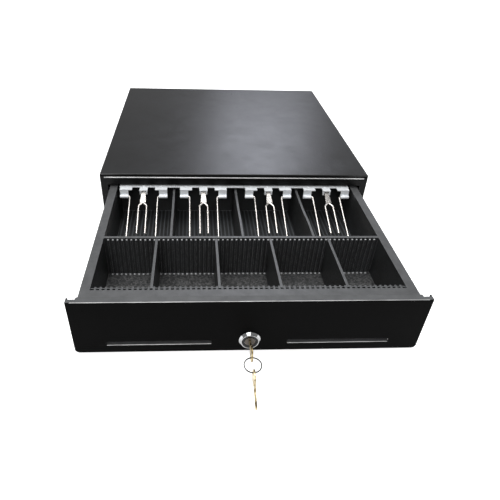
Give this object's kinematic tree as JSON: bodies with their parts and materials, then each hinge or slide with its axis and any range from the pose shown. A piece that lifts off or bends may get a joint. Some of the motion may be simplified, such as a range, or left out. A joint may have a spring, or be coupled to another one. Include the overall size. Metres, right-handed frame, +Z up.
{
  "type": "cash drawer",
  "caption": "Steel cash drawer with a roller-mounted drawer, a removable moulded money tray with wire bill clips, media slots, a key lock and a solenoid release.",
  "frame": {"origin": "on the floor plane, at the middle of the footprint with the drawer fully open", "axes": "+Z up, +Y from the drawer front to the back of the housing, +X to the right as seen from the front"},
  "size_m": [0.4078, 0.7675, 0.1],
  "materials": {
    "housing_paint": "fine-texture black powder coat",
    "drawer_paint": "semi-matt black powder coat",
    "galvanised": "zinc-plated sheet",
    "zinc": "bright zinc plate",
    "wire": "nickel-plated spring wire",
    "abs": "moulded black ABS, fine grain",
    "chrome": "polished chrome",
    "brass": "worn brass",
    "dark_steel": "dark steel wire",
    "screw": "black-oxide steel",
    "rubber": "matt rubber",
    "nylon": "natural nylon",
    "coil_wrap": "coil wound in amber tape",
    "plastic": "black moulding"
  },
  "bodies": {
    "case": {"case_cover": "housing_paint", "rear_panel": "housing_paint", "front_frame": "housing_paint", "chassis": "galvanised", "case_rails": "galvanised", "case_roller_pins": "screw", "rubber_feet": "rubber", "foot_screws": "screw", "cover_screws": "screw", "rear_screws": "screw", "latch_bracket": "galvanised", "latch_pivot": "screw", "latch_spring": "screw", "solenoid_frame": "galvanised", "solenoid_coil": "coil_wrap", "ejector_housing": "plastic", "ejector_spring": "screw", "switch_body": "plastic", "rj12_socket": "plastic", "solenoid_leads": "plastic"},
    "drawer": {"drawer_pan": "drawer_paint", "drawer_front": "drawer_paint", "front_screws": "screw", "slot_chutes": "drawer_paint", "drawer_rails": "galvanised", "drawer_roller_pins": "screw", "striker": "galvanised", "lock_body": "chrome", "lock_nut": "zinc"},
    "lock_plug": {"lock_plug": "chrome", "lock_cam": "zinc"},
    "key": {"key": "brass"},
    "key_ring": {"key_ring": "dark_steel"},
    "second_key": {"second_key": "brass"},
    "tray": {"money_tray": "abs", "bill_dividers": "abs", "clip_rail": "zinc", "rail_screws": "zinc", "fork_pins": "screw"},
    "latch_lever": {"latch_lever": "galvanised"},
    "solenoid_plunger": {"solenoid_plunger": "zinc"},
    "ejector_pusher": {"ejector_pusher": "nylon"},
    "switch_lever": {"switch_lever": "zinc"},
    "case_roller_left": {"case_roller_left": "nylon"},
    "case_roller_right": {"case_roller_right": "nylon"},
    "drawer_roller_left": {"drawer_roller_left": "nylon"},
    "drawer_roller_right": {"drawer_roller_right": "nylon"},
    "coin_divider_1": {"coin_divider_1": "abs"},
    "bill_bail_1": {"bill_bail_1": "wire"},
    "bill_fork_1": {"bill_fork_1": "wire"},
    "coin_divider_2": {"coin_divider_2": "abs"},
    "bill_bail_2": {"bill_bail_2": "wire"},
    "bill_fork_2": {"bill_fork_2": "wire"},
    "coin_divider_3": {"coin_divider_3": "abs"},
    "bill_bail_3": {"bill_bail_3": "wire"},
    "bill_fork_3": {"bill_fork_3": "wire"},
    "coin_divider_4": {"coin_divider_4": "abs"},
    "bill_bail_4": {"bill_bail_4": "wire"},
    "bill_fork_4": {"bill_fork_4": "wire"}
  },
  "joints": [
    {"name": "drawer_slide", "type": "slide", "parent": "case", "child": "drawer", "axis": [0, -1, 0], "range_m": [-0.253, 0]},
    {"name": "tray_tilt", "type": "hinge", "parent": "drawer", "child": "tray", "pos_m": [0, -0.0045, 0.077], "axis": [-1, 0, 0], "range_deg": [0, 2.5]},
    {"name": "key_turn", "type": "hinge", "parent": "drawer", "child": "lock_plug", "pos_m": [0, -0.3025, 0.0215], "axis": [0, -1, 0], "range_deg": [-90, 90]},
    {"name": "key_pull", "type": "slide", "parent": "lock_plug", "child": "key", "axis": [0, -1, 0], "range_m": [0, 0.024]},
    {"name": "ring_swing", "type": "hinge", "parent": "key", "child": "key_ring", "pos_m": [0, -0.327, 0.0215], "axis": [-1, 0, 0], "range_deg": [0, 60]},
    {"name": "second_key_swing", "type": "hinge", "parent": "key_ring", "child": "second_key", "pos_m": [0, -0.34609, 0.01949], "axis": [-1, 0, 0], "range_deg": [0, 45]},
    {"name": "coin_divider_1_lift", "type": "slide", "parent": "tray", "child": "coin_divider_1", "axis": [0, 0, 1], "range_m": [0, 0.05]},
    {"name": "coin_divider_2_lift", "type": "slide", "parent": "tray", "child": "coin_divider_2", "axis": [0, 0, 1], "range_m": [0, 0.05]},
    {"name": "coin_divider_3_lift", "type": "slide", "parent": "tray", "child": "coin_divider_3", "axis": [0, 0, 1], "range_m": [0, 0.05]},
    {"name": "coin_divider_4_lift", "type": "slide", "parent": "tray", "child": "coin_divider_4", "axis": [0, 0, 1], "range_m": [0, 0.05]},
    {"name": "bail_1_lift", "type": "hinge", "parent": "tray", "child": "bill_bail_1", "pos_m": [-0.138, -0.0505, 0.07], "axis": [-1, 0, 0], "range_deg": [0, 70], "stiffness_Nm_per_rad": 0.02, "springref_deg": -17.19},
    {"name": "fork_1_lift", "type": "hinge", "parent": "tray", "child": "bill_fork_1", "pos_m": [-0.138, -0.0495, 0.0755], "axis": [-1, 0, 0], "range_deg": [0, 45], "stiffness_Nm_per_rad": 0.02, "springref_deg": -17.19},
    {"name": "bail_2_lift", "type": "hinge", "parent": "tray", "child": "bill_bail_2", "pos_m": [-0.049, -0.0505, 0.07], "axis": [-1, 0, 0], "range_deg": [0, 70], "stiffness_Nm_per_rad": 0.02, "springref_deg": -17.19},
    {"name": "fork_2_lift", "type": "hinge", "parent": "tray", "child": "bill_fork_2", "pos_m": [-0.049, -0.0495, 0.0755], "axis": [-1, 0, 0], "range_deg": [0, 45], "stiffness_Nm_per_rad": 0.02, "springref_deg": -17.19},
    {"name": "bail_3_lift", "type": "hinge", "parent": "tray", "child": "bill_bail_3", "pos_m": [0.049, -0.0505, 0.07], "axis": [-1, 0, 0], "range_deg": [0, 70], "stiffness_Nm_per_rad": 0.02, "springref_deg": -17.19},
    {"name": "fork_3_lift", "type": "hinge", "parent": "tray", "child": "bill_fork_3", "pos_m": [0.049, -0.0495, 0.0755], "axis": [-1, 0, 0], "range_deg": [0, 45], "stiffness_Nm_per_rad": 0.02, "springref_deg": -17.19},
    {"name": "bail_4_lift", "type": "hinge", "parent": "tray", "child": "bill_bail_4", "pos_m": [0.138, -0.0505, 0.07], "axis": [-1, 0, 0], "range_deg": [0, 70], "stiffness_Nm_per_rad": 0.02, "springref_deg": -17.19},
    {"name": "fork_4_lift", "type": "hinge", "parent": "tray", "child": "bill_fork_4", "pos_m": [0.138, -0.0495, 0.0755], "axis": [-1, 0, 0], "range_deg": [0, 45], "stiffness_Nm_per_rad": 0.02, "springref_deg": -17.19},
    {"name": "case_roller_left_spin", "type": "hinge", "parent": "case", "child": "case_roller_left", "pos_m": [-0.1942, -0.0215, 0.0376], "axis": [1, 0, 0], "continuous": true},
    {"name": "drawer_roller_left_spin", "type": "hinge", "parent": "drawer", "child": "drawer_roller_left", "pos_m": [-0.1942, 0.0175, 0.0429], "axis": [1, 0, 0], "continuous": true},
    {"name": "case_roller_right_spin", "type": "hinge", "parent": "case", "child": "case_roller_right", "pos_m": [0.1942, -0.0215, 0.0376], "axis": [1, 0, 0], "continuous": true},
    {"name": "drawer_roller_right_spin", "type": "hinge", "parent": "drawer", "child": "drawer_roller_right", "pos_m": [0.1942, 0.0175, 0.0429], "axis": [1, 0, 0], "continuous": true},
    {"name": "latch_turn", "type": "hinge", "parent": "case", "child": "latch_lever", "pos_m": [0.034, 0.3075, 0.04], "axis": [0, 0, 1], "range_deg": [0, 14], "stiffness_Nm_per_rad": 0.1, "springref_deg": -5.73},
    {"name": "plunger_slide", "type": "slide", "parent": "case", "child": "solenoid_plunger", "axis": [-1, 0, 0], "range_m": [0, 0.007]},
    {"name": "ejector_slide", "type": "slide", "parent": "case", "child": "ejector_pusher", "axis": [0, -1, 0], "range_m": [-0.012, 0], "stiffness_N_per_m": 300, "springref_m": 0.002, "deforming": ["ejector_spring"]},
    {"name": "switch_press", "type": "hinge", "parent": "case", "child": "switch_lever", "pos_m": [0.09, 0.2842, 0.031], "axis": [1, 0, 0], "range_deg": [-5, 0], "stiffness_Nm_per_rad": 0.01, "springref_deg": 2.86}
  ],
  "couplings": [
    {"joint": "case_roller_left_spin", "follows": "drawer_slide", "rad_per_m": 142.86},
    {"joint": "case_roller_right_spin", "follows": "drawer_slide", "rad_per_m": 142.86},
    {"joint": "drawer_roller_left_spin", "follows": "drawer_slide", "rad_per_m": -142.86},
    {"joint": "drawer_roller_right_spin", "follows": "drawer_slide", "rad_per_m": -142.86},
    {"joint": "plunger_slide", "follows": "latch_turn", "m_per_rad": 0.028}
  ]
}
